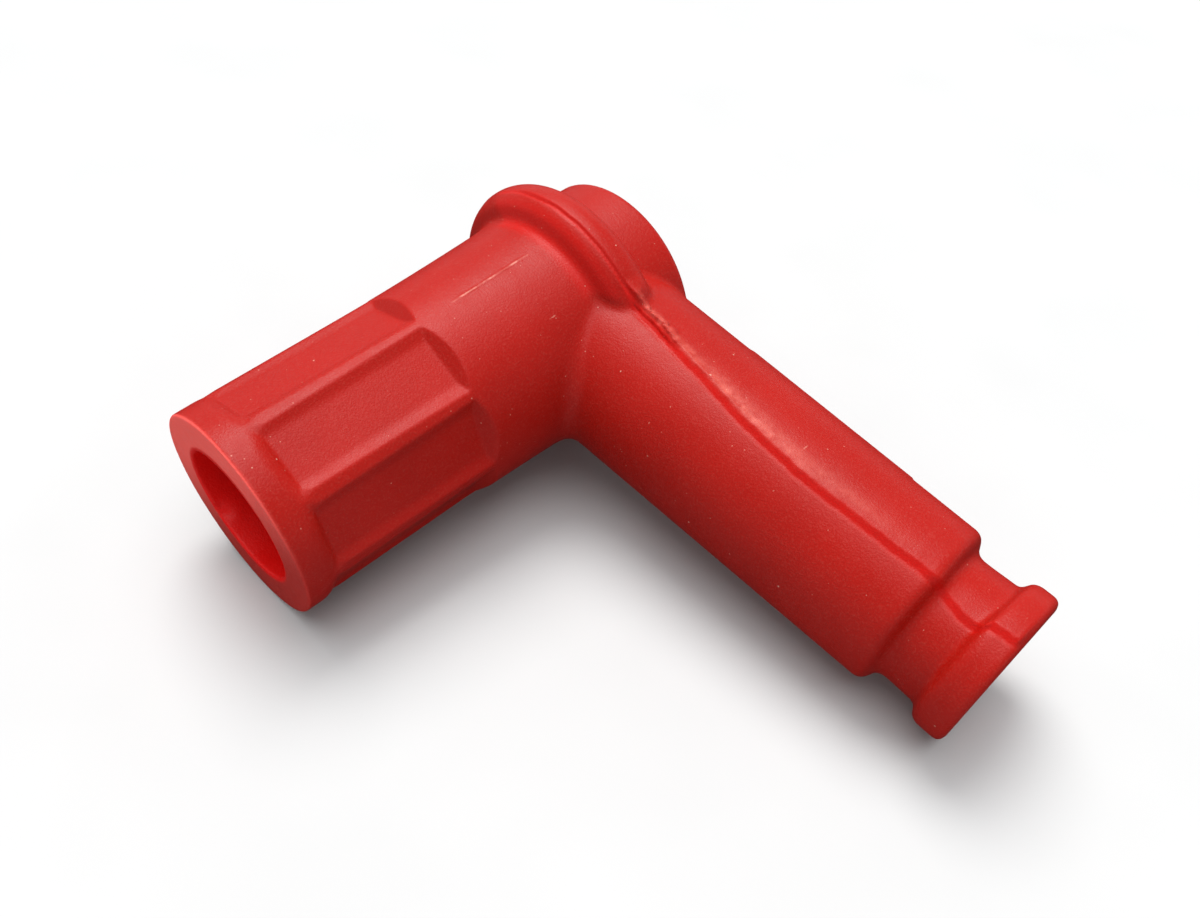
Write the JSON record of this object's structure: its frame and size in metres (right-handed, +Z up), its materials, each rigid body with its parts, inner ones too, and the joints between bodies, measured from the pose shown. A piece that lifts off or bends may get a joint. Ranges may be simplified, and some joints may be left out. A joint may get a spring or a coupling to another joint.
{
  "type": "right-angle spark plug cap",
  "caption": "Right-angle moulded silicone spark plug cap with a panelled grip, insulating core, plug terminal and sprung resistor.",
  "frame": {"origin": "middle of the cap's footprint, at its base, with the cap lying on its side", "axes": "+X along the lead arm towards the lead entry, -Y out of the plug socket, +Z up"},
  "size_m": [0.0766, 0.0558, 0.0305],
  "materials": {
    "elbow_boot": "matte",
    "insulator_core": "satin",
    "core_cap": "satin",
    "plug_terminal": "satin",
    "terminal_clip": "satin",
    "terminal_rivet": "satin",
    "contact_washer": "satin",
    "elbow_contact": "satin",
    "contact_spring": "satin",
    "resistor_cap_inner": "satin",
    "resistor_rod": "matte",
    "resistor_cap_outer": "satin",
    "lead_terminal": "satin",
    "lead_screw": "satin"
  },
  "bodies": {
    "cap": {"elbow_boot": "elbow_boot", "insulator_core": "insulator_core", "core_cap": "core_cap", "plug_terminal": "plug_terminal", "terminal_clip": "terminal_clip", "terminal_rivet": "terminal_rivet", "contact_washer": "contact_washer", "elbow_contact": "elbow_contact", "contact_spring": "contact_spring", "lead_terminal": "lead_terminal", "lead_screw": "lead_screw"},
    "resistor_carriage": {"resistor_cap_inner": "resistor_cap_inner", "resistor_rod": "resistor_rod", "resistor_cap_outer": "resistor_cap_outer"}
  },
  "joints": [
    {"name": "resistor_float", "type": "slide", "parent": "cap", "child": "resistor_carriage", "axis": [-1, 0, 0], "range_m": [0, 0.0012], "stiffness_N_per_m": 600, "springref_m": -0.004, "deforming": ["contact_spring"]}
  ]
}
